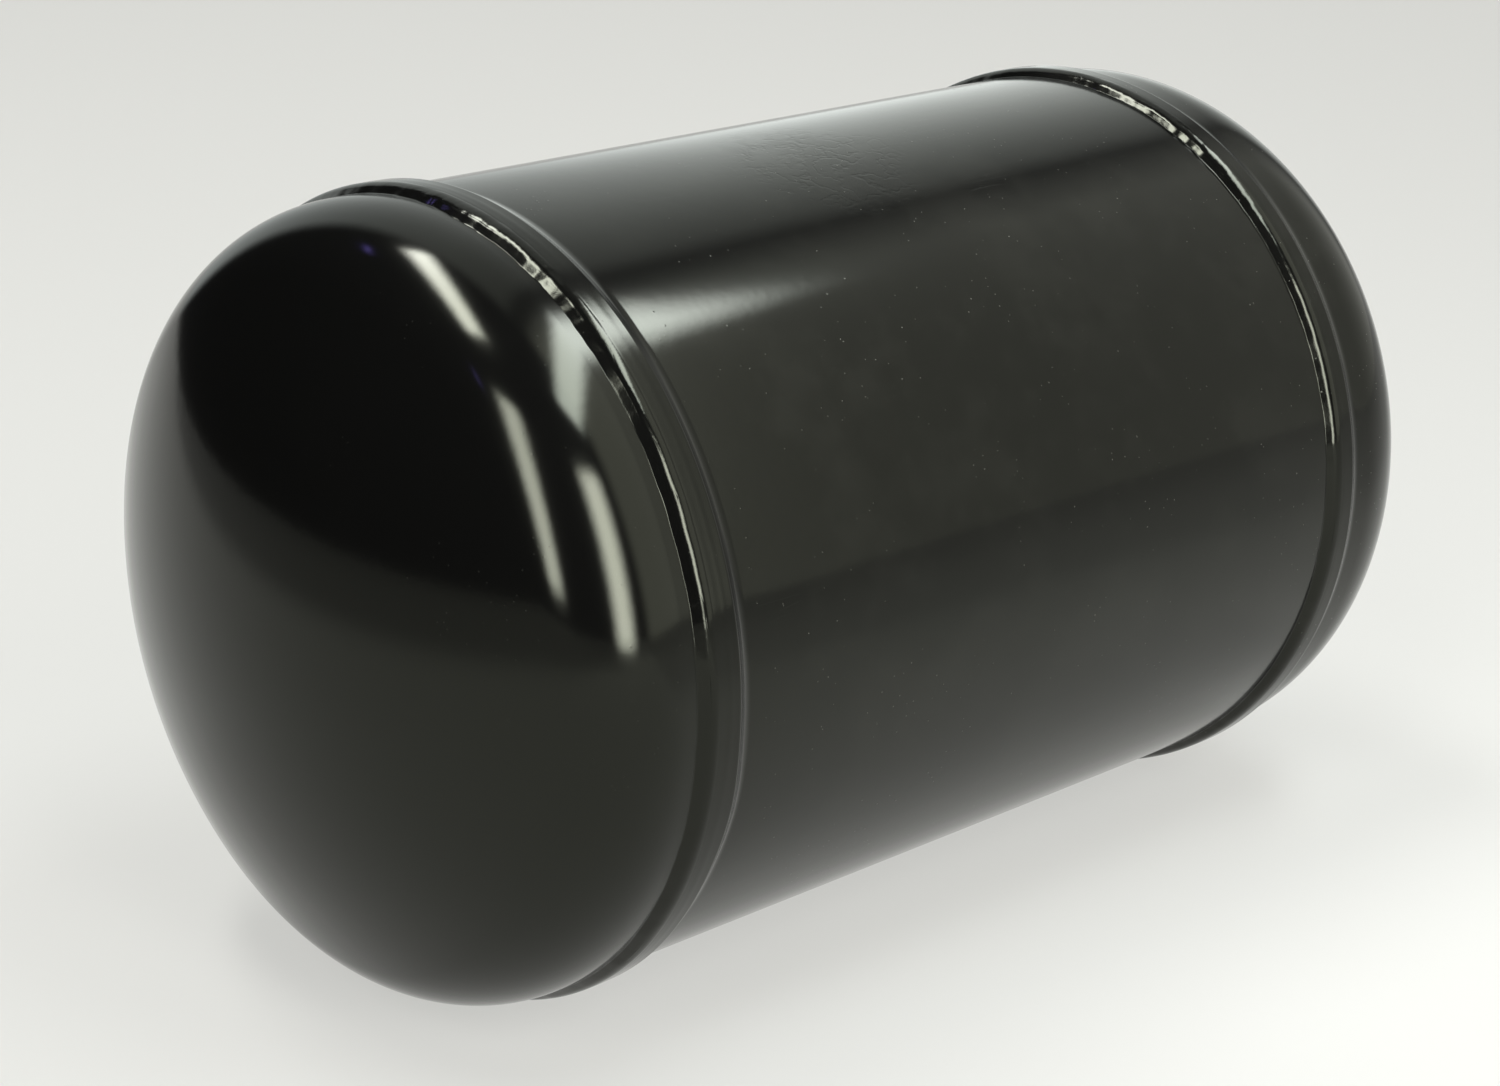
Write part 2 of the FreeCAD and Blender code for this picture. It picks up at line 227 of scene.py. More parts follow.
class Graph:
    """The node tree of a material or a world, emptied and rebuilt."""

    def __init__(self, tree: bpy.types.NodeTree) -> None:
        """Takes a tree and empties it."""
        self.tree = tree
        tree.nodes.clear()

    def node(self, kind: str, settings: Dict[str, object], *values: object, **named: object) -> Wire:
        """Adds any node.

        Args:
            kind: The node's type.
            settings: Properties set before its sockets, such as an operation; "stops" sets a
                ramp's stops.
            values: Numbers, colours, vectors or wires for its first sockets, in order.
            named: The same for sockets by name, with underscores for spaces.

        Returns:
            The node's first live output.
        """
        item = self.tree.nodes.new(kind)
        for key, setting in settings.items():
            if key == "stops":
                self.colour_stops(item.color_ramp, setting)
            else:
                setattr(item, key, setting)
        open_sockets = [socket for socket in item.inputs if socket.enabled]
        for socket, value in zip(open_sockets, values):
            self.feed(socket, value)
        for key, value in named.items():
            self.feed(item.inputs[key.replace("_", " ")], value)
        live = [socket for socket in item.outputs if socket.enabled]
        return Wire(self, live[0]) if live else Wire(self, None)

    def colour_stops(
        self, ramp: bpy.types.ColorRamp, stops: Sequence[Tuple[float, Colour]]
    ) -> None:
        """Sets a ramp's stops.

        Args:
            ramp: The ramp of a Color Ramp node.
            stops: Places from 0 to 1 with their colours, in order.
        """
        while len(ramp.elements) < len(stops):
            ramp.elements.new(0.5)
        for element, (place, colour) in zip(ramp.elements, stops):
            element.position = place
            element.color = rgba(colour)

    def feed(self, socket: bpy.types.NodeSocket, value: object) -> None:
        """Links or sets one socket; None leaves it as it is."""
        if isinstance(value, Wire):
            self.tree.links.new(value.socket, socket)
        elif value is not None:
            socket.default_value = value

    def mix(self, factor: Value, first: object, second: object) -> Wire:
        """A colour between two colours.

        Args:
            factor: 0 for the first colour, 1 for the second.
            first: A colour or a wire.
            second: A colour or a wire.

        Returns:
            The mixed colour.
        """
        settings = {"data_type": "RGBA", "blend_type": "MIX"}
        return self.node("ShaderNodeMix", settings, factor, first, second)

    def place(self, scale: Sequence[float] = (1.0, 1.0, 1.0)) -> Wire:
        """Object coordinates in metres, stretched by a scale along each axis."""
        where = self.tree.nodes.new("ShaderNodeTexCoord").outputs["Object"]
        return self.node("ShaderNodeMapping", {}, Wire(self, where), Scale=scale)

    def noise(self, where: Wire, scale: float, detail: float = 3.0, roughness: float = 0.5) -> Wire:
        """Smooth noise from 0 to 1; scale is cycles a metre."""
        return self.node(
            "ShaderNodeTexNoise", {}, Vector=where, Scale=scale, Detail=detail, Roughness=roughness
        )


def rgba(colour: Colour) -> Tuple[float, float, float, float]:
    """A colour with full alpha."""
    return (*colour, 1.0)


# ---------------------------------------------------------------------------------------------
# Finishes
# ---------------------------------------------------------------------------------------------


@dataclass(frozen=True)
class Enamel:
    """Gloss black stoving enamel: orange peel, dust, hairline scratches, smears and one rub.

    Heights are in metres. Shares are how much of the dust's colour each mark shows.
    """

    name: str
    colour: Colour = (0.0022, 0.0022, 0.0021)
    dust: Colour = (0.055, 0.055, 0.048)
    gloss: float = 0.11
    smear_gloss: float = 0.131
    index: float = 1.36
    peel_height: float = 0.012 * MM
    grain_height: float = 0.0006 * MM
    nib_height: float = 0.025 * MM
    scratch_depth: float = 0.006 * MM
    mark_depth: float = 0.04 * MM
    pit_height: float = 0.02 * MM
    speck_share: float = 0.9
    film_share: float = 0.04
    wear_share: float = 0.02
    tint: Colour = (0.96, 1.0, 0.83)
    clean_to: float = -0.16
    dusty_from: float = -0.12
    pits: bool = False
    rub_place: Tuple[float, float, float] = (-0.014, -0.032, 0.2755)

    def build(self) -> bpy.types.Material:
        """Makes the material.

        Returns:
            A new material on Object coordinates.
        """
        material = bpy.data.materials.new(self.name)
        material.use_nodes = True
        graph = Graph(material.node_tree)
        here = graph.place()
        smears = graph.noise(here, 9.0, 4.0, 0.6).ramp(0.56, 0.74)
        grain = graph.noise(here, 900.0, 2.0)
        behind = graph.node("ShaderNodeSeparateXYZ", {}, here).ramp(self.clean_to, self.dusty_from)
        specks, bumps = self._specks(graph, here, behind * 0.8 + 0.2)
        film = graph.noise(here, 26.0, 5.0, 0.65).ramp(0.44, 0.68) * behind
        scratches = self._scratches(graph)
        rub = self._rub(graph, here)
        wear = smears * 0.25 + scratches * 0.5 + rub * 0.3
        dusty = specks * self.speck_share + wear * self.wear_share + film * self.film_share
        base = graph.mix(dusty, rgba(self.colour), rgba(self.dust))
        rough = self.gloss + smears * (self.smear_gloss - self.gloss) + specks * 0.4 + rub * 0.11
        peel = graph.noise(here, 260.0, 2.0, 0.4) * self.peel_height
        nibs = bumps * self.nib_height - scratches * self.scratch_depth
        marks = (graph.noise(here, 120.0, 2.0) - 0.5).magnitude().ramp(0.05, 0.0)
        height = peel + nibs + grain * self.grain_height - rub * marks * self.mark_depth
        if self.pits:
            height = height + graph.noise(here, 700.0, 3.0, 0.6) * self.pit_height
        bump = graph.node("ShaderNodeBump", {}, Strength=1.0, Distance=1.0, Height=height)
        shader = graph.node(
            "ShaderNodeBsdfPrincipled",
            {},
            Base_Color=base,
            Roughness=rough,
            IOR=self.index,
            Specular_Tint=rgba(self.tint),
            Normal=bump,
        )
        graph.node("ShaderNodeOutputMaterial", {}, shader)
        return material

    def _rub(self, graph: Graph, here: Wire) -> Wire:
        """One rubbed patch with a ragged edge on top of the shell."""
        away = graph.node("ShaderNodeVectorMath", {"operation": "DISTANCE"}, here, self.rub_place)
        ragged = graph.noise(here, 55.0, 4.0, 0.65)
        return (away + (ragged - 0.5) * 0.09).ramp(0.042, 0.024) * ragged.ramp(0.32, 0.56)

    def _specks(self, graph: Graph, here: Wire, share: Wire) -> Tuple[Wire, Wire]:
        """Sparse dust nibs about random points, kept where a broad noise allows.

        Args:
            graph: The material's graph.
            here: Object coordinates.
            share: How much of them each place keeps.

        Returns:
            Their small pale cores and their wider smooth bumps, both 0 to 1.
        """
        settings = {"feature": "F1", "distance": "EUCLIDEAN"}
        dots = graph.node("ShaderNodeTexVoronoi", settings, Vector=here, Scale=290.0, Randomness=1.0)
        allowed = graph.noise(here, 34.0, 2.0).ramp(0.42, 0.60) * share
        return dots.ramp(0.09, 0.04) * allowed, dots.ramp(0.17, 0.02) * allowed

    def _scratches(self, graph: Graph) -> Wire:
        """Hairline scratches: thin contours of noise stretched along the tank, in patches."""
        fine = graph.noise(graph.place((22.0, 160.0, 160.0)), 1.0, 1.0)
        line = (fine - 0.5).magnitude().ramp(0.004, 0.0)
        patch = graph.noise(graph.place(), 21.0, 2.0).ramp(0.58, 0.70)
        return line * patch


@dataclass(frozen=True)
class BareThread:
    """Machined steel left under a film of oil."""

    name: str = "bare_thread_steel"
    colour: Colour = (0.34, 0.33, 0.31)
    oil: Colour = (0.13, 0.10, 0.08)
    gloss: float = 0.28

    def build(self) -> bpy.types.Material:
        """Makes the material.

        Returns:
            A new material on Object coordinates.
        """
        material = bpy.data.materials.new(self.name)
        material.use_nodes = True
        graph = Graph(material.node_tree)
        stain = graph.noise(graph.place(), 220.0, 4.0, 0.6).ramp(0.4, 0.7)
        base = graph.mix(stain, rgba(self.colour), rgba(self.oil))
        rough = self.gloss + stain * 0.25
        shader = graph.node(
            "ShaderNodeBsdfPrincipled", {}, Base_Color=base, Metallic=1.0, Roughness=rough
        )
        graph.node("ShaderNodeOutputMaterial", {}, shader)
        return material


# ---------------------------------------------------------------------------------------------
# Surfaces
# ---------------------------------------------------------------------------------------------


class Skin(Enum):
    """How the rows of a grid of points end."""

    LOOP = "the last row joins the first"
    POLES = "the first and last rows are single points"


def ring_mesh(name: str, rows: np.ndarray, ending: Skin) -> bpy.types.Object:
    """Makes a closed mesh from rows of points that each go once round.

    Quads join each point to the next along its row and to the same point of the next row; a
    pole is one vertex with a fan of triangles. The faces are turned outwards if the sum of
    their signed cone volumes is negative.

    Args:
        name: The piece's name.
        rows: Points, as an array of rows by columns by three.
        ending: How the first and last rows end.

    Returns:
        A new smooth-shaded object at the origin.
    """
    count, around = rows.shape[:2]
    column = np.arange(around)
    following = (column + 1) % around
    fans: List[List[int]] = []
    if ending is Skin.LOOP:
        points = rows.reshape(-1, 3)
        row = np.arange(count)
        below, above = row * around, ((row + 1) % count) * around
    else:
        points = np.vstack([rows[0, :1], rows[1:-1].reshape(-1, 3), rows[-1, :1]])
        row = np.arange(count - 3)
        below, above = 1 + row * around, 1 + (row + 1) * around
        last, last_row = len(points) - 1, 1 + (count - 3) * around
        fans = [[0, 1 + b, 1 + a] for a, b in zip(column, following)]
        fans += [[last, last_row + a, last_row + b] for a, b in zip(column, following)]
    quads = np.stack(
        [
            below[:, None] + column,
            below[:, None] + following,
            above[:, None] + following,
            above[:, None] + column,
        ],
        axis=-1,
    ).reshape(-1, 4)
    corners = points[quads] - points.mean(axis=0)
    volume = np.einsum("ij,ij->", corners[:, 0], np.cross(corners[:, 1], corners[:, 2]))
    volume += np.einsum("ij,ij->", corners[:, 0], np.cross(corners[:, 2], corners[:, 3]))
    faces = quads.tolist() + fans
    if volume < 0.0:
        faces = [face[::-1] for face in faces]
    mesh = bpy.data.meshes.new(name)
    mesh.from_pydata(points.tolist(), [], faces)
    mesh.update()
    mesh.polygons.foreach_set("use_smooth", np.ones(len(mesh.polygons), dtype=bool))
    mesh.set_sharp_from_angle(angle=SHARP_EDGE)
    item = bpy.data.objects.new(name, mesh)
    bpy.context.scene.collection.objects.link(item)
    return item


def about_axis(x: np.ndarray, radius: np.ndarray, angle: np.ndarray, height: float) -> np.ndarray:
    """Points round the tank's axis: (x, -radius cos angle, height + radius sin angle)."""
    x, radius, angle = np.broadcast_arrays(x, radius, angle)
    return np.stack([x, -radius * np.cos(angle), height + radius * np.sin(angle)], axis=-1)


def turns(count: int) -> np.ndarray:
    """Equal angles once round, without the last."""
    return np.arange(count) * (FULL_TURN / count)


def turned_from(angle: np.ndarray, start: float) -> np.ndarray:
    """Angles measured from another one, between minus and plus half a turn."""
    return (angle - start + math.pi) % FULL_TURN - math.pi


@dataclass(frozen=True)
class Waver:
    """A smooth random function that closes on itself: a sum of cosines with seeded phases.

    At angle a and distance x the value is the sum over whole waves k of
    cos(k a + p_k + x / reach * q_k), each weighted by k to the power of minus decay, and the
    whole is scaled to a standard deviation of one.
    """

    seed: int
    slowest: int
    fastest: int
    decay: float = 1.0
    reach: float = 0.1

    def __call__(self, angle: np.ndarray, x: Union[np.ndarray, float] = 0.0) -> np.ndarray:
        """Evaluates the function.

        Args:
            angle: Angles, in radians.
            x: Distances along the tank, which broadcast with the angles.

        Returns:
            The values, in the broadcast shape.
        """
        random = np.random.default_rng(self.seed)
        waves = np.arange(self.slowest, self.fastest + 1)
        phases = random.uniform(0.0, FULL_TURN, waves.size)
        drifts = random.normal(0.0, 1.0, waves.size)
        weights = waves.astype(float) ** -self.decay
        weights /= math.sqrt(float((weights**2).sum()) / 2)
        total = np.zeros(np.broadcast_shapes(np.shape(angle), np.shape(x)))
        for wave, phase, drift, weight in zip(waves, phases, drifts, weights):
            total = total + weight * np.cos(wave * angle + phase + drift * np.asarray(x) / self.reach)
        return total


class SheetPath:
    """The section of a bent sheet: runs and bends from one edge to the other.

    The outer skin is walked with a point and a heading. A run moves the point along the
    heading, and a bend turns it about a centre on one side. The inner skin is the outer skin
    less the sheet along the normal, so the sheet keeps its thickness.
    """

    def __init__(self, x: float, radius: float) -> None:
        """Starts at a point, heading towards the rear."""
        self.points: List[np.ndarray] = [np.array([[x, radius]])]
        self.headings: List[np.ndarray] = [np.array([0.0])]

    @property
    def _last(self) -> Tuple[np.ndarray, float]:
        """The point and the heading reached."""
        return self.points[-1][-1], float(self.headings[-1][-1])

    def run(self, length: float, spacing: float) -> "SheetPath":
        """Adds a straight run, sampled closer to its ends.

        Args:
            length: How far it goes.
            spacing: About how far apart its points are.

        Returns:
            The path.
        """
        at, heading = self._last
        count = max(2, int(math.ceil(length / spacing)))
        share = 0.5 - 0.5 * np.cos(np.linspace(0.0, math.pi, count + 1)[1:])
        step = np.array([math.cos(heading), math.sin(heading)])
        self.points.append(at + share[:, None] * length * step)
        self.headings.append(np.full(count, heading))
        return self

    def bend(self, radius: float, turn: float, spacing: float) -> "SheetPath":
        """Adds a bend of the outer skin.

        Args:
            radius: The bend's radius on the outer skin.
            turn: The angle turned; a negative one goes towards the axis.
            spacing: About how far apart its points are.

        Returns:
            The path.
        """
        at, heading = self._last
        side = math.copysign(1.0, turn)
        count = max(3, int(math.ceil(abs(turn) * radius / spacing)))
        headings = heading + turn * np.linspace(0.0, 1.0, count + 1)[1:]
        centre = at + side * radius * np.array([-math.sin(heading), math.cos(heading)])
        spokes = np.stack([np.sin(headings), -np.cos(headings)], axis=-1)
        self.points.append(centre + side * radius * spokes)
        self.headings.append(headings)
        return self

    def skin(self, depth: float = 0.0) -> np.ndarray:
        """Points (x, radius) of the skin at a depth below the outer one."""
        points, heading = np.vstack(self.points), np.concatenate(self.headings)
        return points + depth * np.stack([np.sin(heading), -np.cos(heading)], axis=-1)

    def normals(self) -> np.ndarray:
        """Outward normals (x, radius) of the outer skin."""
        heading = np.concatenate(self.headings)
        return np.stack([-np.sin(heading), np.cos(heading)], axis=-1)


# ---------------------------------------------------------------------------------------------
# Pieces
# ---------------------------------------------------------------------------------------------


def dress(
    item: bpy.types.Object, material: bpy.types.Material, slot: str, *nodes: str
) -> bpy.types.Object:
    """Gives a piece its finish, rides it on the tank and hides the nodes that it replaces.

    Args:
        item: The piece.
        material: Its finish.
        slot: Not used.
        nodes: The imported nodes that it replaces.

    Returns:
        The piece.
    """
    item.data.materials.append(material)
    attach(item, "root")
    if nodes:
        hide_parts(*nodes)
    LOG.info("%s: %d faces", item.name, len(item.data.polygons))
    return item


@dataclass
class SheetPiece:
    """What the shell and the heads share: a bent sheet turned about the tank's axis."""

    sizes: TankSizes
    around: int = 448
    coarse: float = 6.0 * MM

    def socket(self, path: SheetPath, flat: float) -> None:
        """Adds a socket and its shoulder down to the plain radius.

        Args:
            path: The outer skin's path, at the socket's rim.
            flat: The socket's length from the rim to the shoulder.
        """
        sizes = self.sizes
        bends = sizes.shoulder_bend + sizes.shoulder_root
        drop = sizes.sheet + sizes.clearance
        sine, cosine = math.sin(sizes.shoulder_angle), math.cos(sizes.shoulder_angle)
        path.run(flat - sizes.shoulder_lead, 0.6 * MM)
        path.bend(sizes.shoulder_bend, -sizes.shoulder_angle, 0.4 * MM)
        path.run((drop - bends * (1.0 - cosine)) / sine, 0.5 * MM)
        path.bend(sizes.shoulder_root, sizes.shoulder_angle, 0.3 * MM)

    def dish(self, path: SheetPath) -> None:
        """Adds the knuckle and the crown down to the axis; the path stands at the tangent."""
        sizes = self.sizes
        rise = sizes.shell_radius - sizes.knuckle_radius
        crown_turn = math.asin(rise / (sizes.crown_radius - sizes.knuckle_radius))
        path.bend(sizes.knuckle_radius, crown_turn - math.pi / 2, 2.0 * MM)
        path.bend(sizes.crown_radius, -crown_turn, 4.0 * MM)

    def turned(
        self,
        name: str,
        path: SheetPath,
        unevenness: Callable[[np.ndarray, np.ndarray], np.ndarray],
        ending: Skin,
        mirror_x: float = 1.0,
        offset_x: float = 0.0,
        drift: Optional[Callable[[np.ndarray, np.ndarray], np.ndarray]] = None,
    ) -> bpy.types.Object:
        """Turns a sheet's path about the axis, both skins, with the outer one slightly uneven.

        Args:
            name: The piece's name.
            path: The outer skin's path.
            unevenness: Height above the true outer skin for arrays of x and angle.
            ending: Whether the sheet closes on the axis or has two edges.
            mirror_x: -1 to turn the path to face the front.
            offset_x: Where the path's zero is along the tank.
            drift: Movement along the tank for arrays of x and angle.

        Returns:
            The piece.
        """
        angle = turns(self.around)[None, :]
        outer, normal, inner = path.skin(), path.normals(), path.skin(self.sizes.sheet)[::-1]
        x = outer[:, :1] * mirror_x + offset_x
        lift = unevenness(x, angle)
        slide = drift(x, angle) if drift else 0.0
        skin = about_axis(
            x + lift * normal[:, :1] * mirror_x + slide,
            np.maximum(outer[:, 1:] + lift * normal[:, 1:], 0.0),
            angle,
            self.sizes.axis_height,
        )
        inner_x, inner_radius = inner[:, :1] * mirror_x + offset_x, np.maximum(inner[:, 1:], 0.0)
        lining = about_axis(inner_x, inner_radius, angle, self.sizes.axis_height)
        return ring_mesh(name, np.concatenate([skin, lining]), ending)


def near(x: np.ndarray, place: Union[np.ndarray, float], width: float) -> np.ndarray:
    """A bell curve about a place or an angle: exp(-((x - place) / width) squared)."""
    return np.exp(-(((x - place) / width) ** 2))


@dataclass
class Shell(SheetPiece):
    """The rolled shell with its expanded front end, drawn in a little where it was welded."""

    bulge_at: float = math.radians(-17.0)
    bulge_spread: float = math.radians(9.0)
    bulge: float = 1.5 * MM
    wander: float = 0.18 * MM
    roll_height: float = 0.035 * MM
    draw_height: float = 0.05 * MM
    draw_depth: float = 0.06 * MM
    front_draw_width: float = 12.0 * MM
    rear_draw_width: float = 14.0 * MM
    ridge_back: float = 5.2 * MM
    ridge_width: float = 0.8 * MM
    ridge_height: float = 0.03 * MM
    ridge_rise: float = 0.012 * MM
    ridge_wander: float = 0.25 * MM
    second_ridge_back: float = 2.6 * MM
    second_ridge_rise: float = 0.015 * MM
    calm_back: float = 8.0 * MM
    calm_width: float = 5.0 * MM
    drift_past: float = 1.0 * MM
    drift_width: float = 6.0 * MM

    def build(self, material: bpy.types.Material, bosses: Sequence["Boss"]) -> bpy.types.Object:
        """Builds, drills and dresses the shell.

        Args:
            material: The shell's finish.
            bosses: The bosses let into it.

        Returns:
            The shell.
        """
        sizes = self.sizes
        rim = sizes.front_toe + sizes.weld_leg
        path = SheetPath(rim, sizes.socket_radius)
        self.socket(path, sizes.front_socket - sizes.weld_leg)
        reached = float(path.skin()[-1, 0])
        path.run(sizes.shell_end - reached, self.coarse)
        roll = Waver(seed=11, slowest=2, fastest=9, decay=1.6, reach=0.12)
        draw = Waver(seed=12, slowest=3, fastest=24, decay=0.8, reach=0.03)
        ridge = Waver(seed=13, slowest=2, fastest=14, decay=0.7, reach=0.01)
        shoulder = sizes.front_toe + sizes.front_socket

        def unevenness(x: np.ndarray, angle: np.ndarray) -> np.ndarray:
            """Slow rolling waves, a draw by each weld and a worked ridge along the socket."""
            plain = self.roll_height * roll(angle, x)
            by_weld = near(x, shoulder, self.front_draw_width)
            by_weld = by_weld + near(x, sizes.rear_toe, self.rear_draw_width)
            drawn = by_weld * (self.draw_height * draw(angle, x) - self.draw_depth)
            place = shoulder - self.ridge_back + self.ridge_wander * ridge(angle)
            crest = self.ridge_rise * ridge(angle, x) + self.ridge_height
            worked = near(x, place, self.ridge_width) * crest
            second = near(x, place - self.second_ridge_back, self.ridge_width)
            second = second * self.second_ridge_rise * draw(angle, x)
            fade = 1.0 - near(x, shoulder - self.calm_back, self.calm_width)
            sunk = self.draw_depth + sizes.front_bead.melted(x - sizes.front_toe)
            return (plain + drawn) * fade + worked + second - sunk

        def drift(x: np.ndarray, angle: np.ndarray) -> np.ndarray:
            """The shoulder's own wandering along the tank, with one bulge low at the front."""
            window = near(x, shoulder + self.drift_past, self.drift_width)
            bulge = self.bulge * near(angle, FULL_TURN + self.bulge_at, self.bulge_spread)
            return window * (self.wander * ridge(angle) + bulge)

        item = self.turned("shell_skin", path, unevenness, Skin.LOOP, drift=drift)
        for boss in bosses:
            boss.drill(item)
        return dress(item, material, "black_paint", "shell")


@dataclass
class Head(SheetPiece):
    """A dished head. The plug head faces the front; the cap head has a socket and faces the rear."""

    is_cap: bool = False
    wave_height: float = 0.02 * MM
    wave_depth: float = 0.05 * MM

    def build(self, material: bpy.types.Material) -> bpy.types.Object:
        """Builds and dresses the head."""
        return self._cap(material) if self.is_cap else self._plug(material)

    def _plug(self, material: bpy.types.Material) -> bpy.types.Object:
        """The front head, drawn facing the rear and mirrored."""
        sizes = self.sizes
        flange = sizes.front_lip + sizes.front_socket - sizes.seat_gap
        path = SheetPath(-flange, sizes.shell_radius).run(flange, 1.2 * MM)
        self.dish(path)
        pressing = self._pressing(21, sizes.front_tangent)
        item = self.turned("front_head_skin", path, pressing, Skin.POLES, -1.0, sizes.front_tangent)
        return dress(item, material, "black_paint", "front_head")

    def _cap(self, material: bpy.types.Material) -> bpy.types.Object:
        """The rear head: socket, shoulder, straight band and dome."""
        sizes = self.sizes
        path = SheetPath(sizes.weld_leg - sizes.rear_skirt, sizes.socket_radius)
        self.socket(path, sizes.rear_socket - sizes.weld_leg)
        path.run(-float(path.skin()[-1, 0]), 1.2 * MM)
        self.dish(path)
        pressing = self._pressing(22, sizes.rear_tangent)

        def unevenness(x: np.ndarray, angle: np.ndarray) -> np.ndarray:
            """The press's waves, less the part of the socket melted into the bead."""
            return pressing(x, angle) - sizes.rear_bead.melted(x - sizes.rear_toe)

        item = self.turned("rear_head_skin", path, unevenness, Skin.POLES, 1.0, sizes.rear_tangent)
        return dress(item, material, "black_paint", "rear_head")

    def _pressing(self, seed: int, tangent: float) -> Callable[[np.ndarray, np.ndarray], np.ndarray]:
        """The faint waves left by the press, none at the pole.

        Args:
            seed: The waves' seed.
            tangent: Where the knuckle starts, and the waves are highest.

        Returns:
            Height above the true skin for arrays of x and angle.
        """
        waves = Waver(seed=seed, slowest=2, fastest=12, decay=1.3, reach=0.05)
        depth = self.sizes.shell_radius * 0.5

        def unevenness(x: np.ndarray, angle: np.ndarray) -> np.ndarray:
            """Waves that fade from the knuckle towards the pole."""
            share = np.clip(1.0 - np.abs(x - tangent) / depth, 0.0, 1.0)
            return (self.wave_height * waves(angle, x) - self.wave_depth) * share**1.5

        return unevenness


@dataclass
class GirthWeld:
    """A fillet bead round a socket's rim, smooth where the torch ran steadily.

    Its section leaves the inserted part in a small hollow fillet, climbs straight, rounds over
    and dips under the socket's skin. The section is carried round the tank. Each point is
    lifted along its normal by slow lumps and by one ripple a pitch, most at the middle of the
    face, and the toe and the crown wander along the tank by their own random waves. The bead
    is rougher about one angle, where the weld was started and stopped.
    """

    sizes: TankSizes
    name: str
    node: str
    toe: float
    section: BeadSection
    seed: int
    rough_at: float = math.radians(74.0)
    rough_spread: float = math.radians(22.0)
    around: int = 1500
    pitch: float = 3.1 * MM
    dip: float = math.radians(2.0)
    lump: float = 0.030 * MM
    ripple: float = 0.005 * MM
    wander: float = 0.14 * MM
    smoothest: float = 0.55
    roughest: float = 2.6
    beat: float = 0.9 * MM
    lean: float = 0.8
    wide_at: float = math.radians(76.0)
    wide_spread: float = math.radians(11.0)
    widening: float = 0.0
    under_depth: float = 0.6 * MM
    under_start: float = 1.2 * MM
    lead: float = 0.3 * MM
    tail: float = 2.5 * MM

    def build(self, material: bpy.types.Material) -> bpy.types.Object:
        """Builds and dresses the bead.

        Args:
            material: The bead's finish.

        Returns:
            The bead.
        """
        sizes, section = self.sizes, self.section
        path = SheetPath(self.toe - self.lead, sizes.shell_radius - section.sink)
        path.run(self.lead, 0.15 * MM)
        path.bend(section.hollow, section.slope, 0.1 * MM).run(section.climb, 0.2 * MM)
        path.bend(section.crown, -section.slope - self.dip, 0.25 * MM).run(self.tail, 0.5 * MM)
        skin, normal = path.skin(), path.normals()
        angle = turns(self.around)[None, :]
        share = np.linspace(0.0, 1.0, len(skin))[:, None]
        restart = near(turned_from(angle, self.rough_at), 0.0, self.rough_spread)
        rough = self.smoothest + (self.roughest - self.smoothest) * restart
        lumps = Waver(self.seed, 16, 110, decay=0.9)(angle)
        toe = Waver(self.seed + 1, 12, 160, decay=0.9)(angle)
        crest = Waver(self.seed + 2, 8, 90, decay=0.9)(angle)
        beat = Waver(self.seed + 3, 2, 30, decay=0.7)(angle)
        arc = angle * sizes.socket_radius + self.beat * beat
        ripple = np.cos(FULL_TURN * (arc / self.pitch + self.lean * (2.0 * share - 1.0) ** 2))
        body = np.sin(math.pi * np.clip(share, 0.0, 1.0)) ** 1.5
        lift = body * rough * (self.lump * lumps + self.ripple * ripple)
        edges = toe * (1.0 - share) + 3.0 * crest * share * (1.0 - share)
        shift = self.wander * edges * (0.6 + 0.4 * rough)
        wide = near(turned_from(angle, self.wide_at), 0.0, self.wide_spread)
        spread = self.widening * wide * (1.0 - share) ** 1.2
        x = skin[:, :1] + lift * normal[:, :1] + shift - spread
        radius = np.minimum(skin[:, 1:] + lift * normal[:, 1:], sizes.socket_radius)
        under_x = np.array([[skin[-1, 0]], [skin[0, 0] + self.under_start]])
        face = about_axis(x, radius, angle, sizes.axis_height)
        under_radius = sizes.shell_radius - self.under_depth
        back = about_axis(under_x, under_radius, angle, sizes.axis_height)
        item = ring_mesh(self.name, np.concatenate([face, back]), Skin.LOOP)
        return dress(item, material, "black_weld", self.node)


